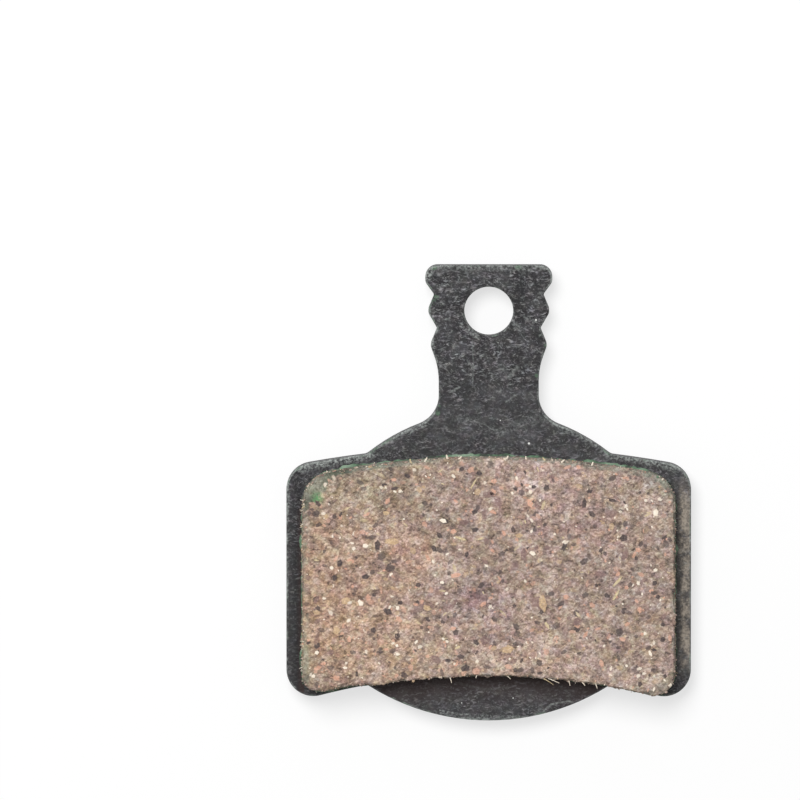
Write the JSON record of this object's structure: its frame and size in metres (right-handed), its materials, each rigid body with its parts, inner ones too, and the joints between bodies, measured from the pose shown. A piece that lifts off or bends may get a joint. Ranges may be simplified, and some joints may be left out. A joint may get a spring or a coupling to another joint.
{
  "type": "bicycle disc brake pad",
  "caption": "Flat disc brake pad: a black steel plate with a lobed tab and retaining hole, and a bonded brown friction lining that grips a brake rotor.",
  "frame": {"origin": "centre of the retaining hole in the plate's back face", "axes": "+X across the pad, +Y up the tab and away from the rotor's axis, +Z along the retaining hole from the plate to the rotor; the pad lies on its back"},
  "size_m": [0.033, 0.0371, 0.004],
  "materials": {
    "plate_coating": "matt black coating, gritty, worn at the edges",
    "bonding_film": "dull green adhesive",
    "lining_compound": "rough speckled organic compound"
  },
  "bodies": {
    "root": {"backing_plate": "plate_coating", "bonding_film": "bonding_film", "friction_lining": "lining_compound"}
  },
  "joints": []
}
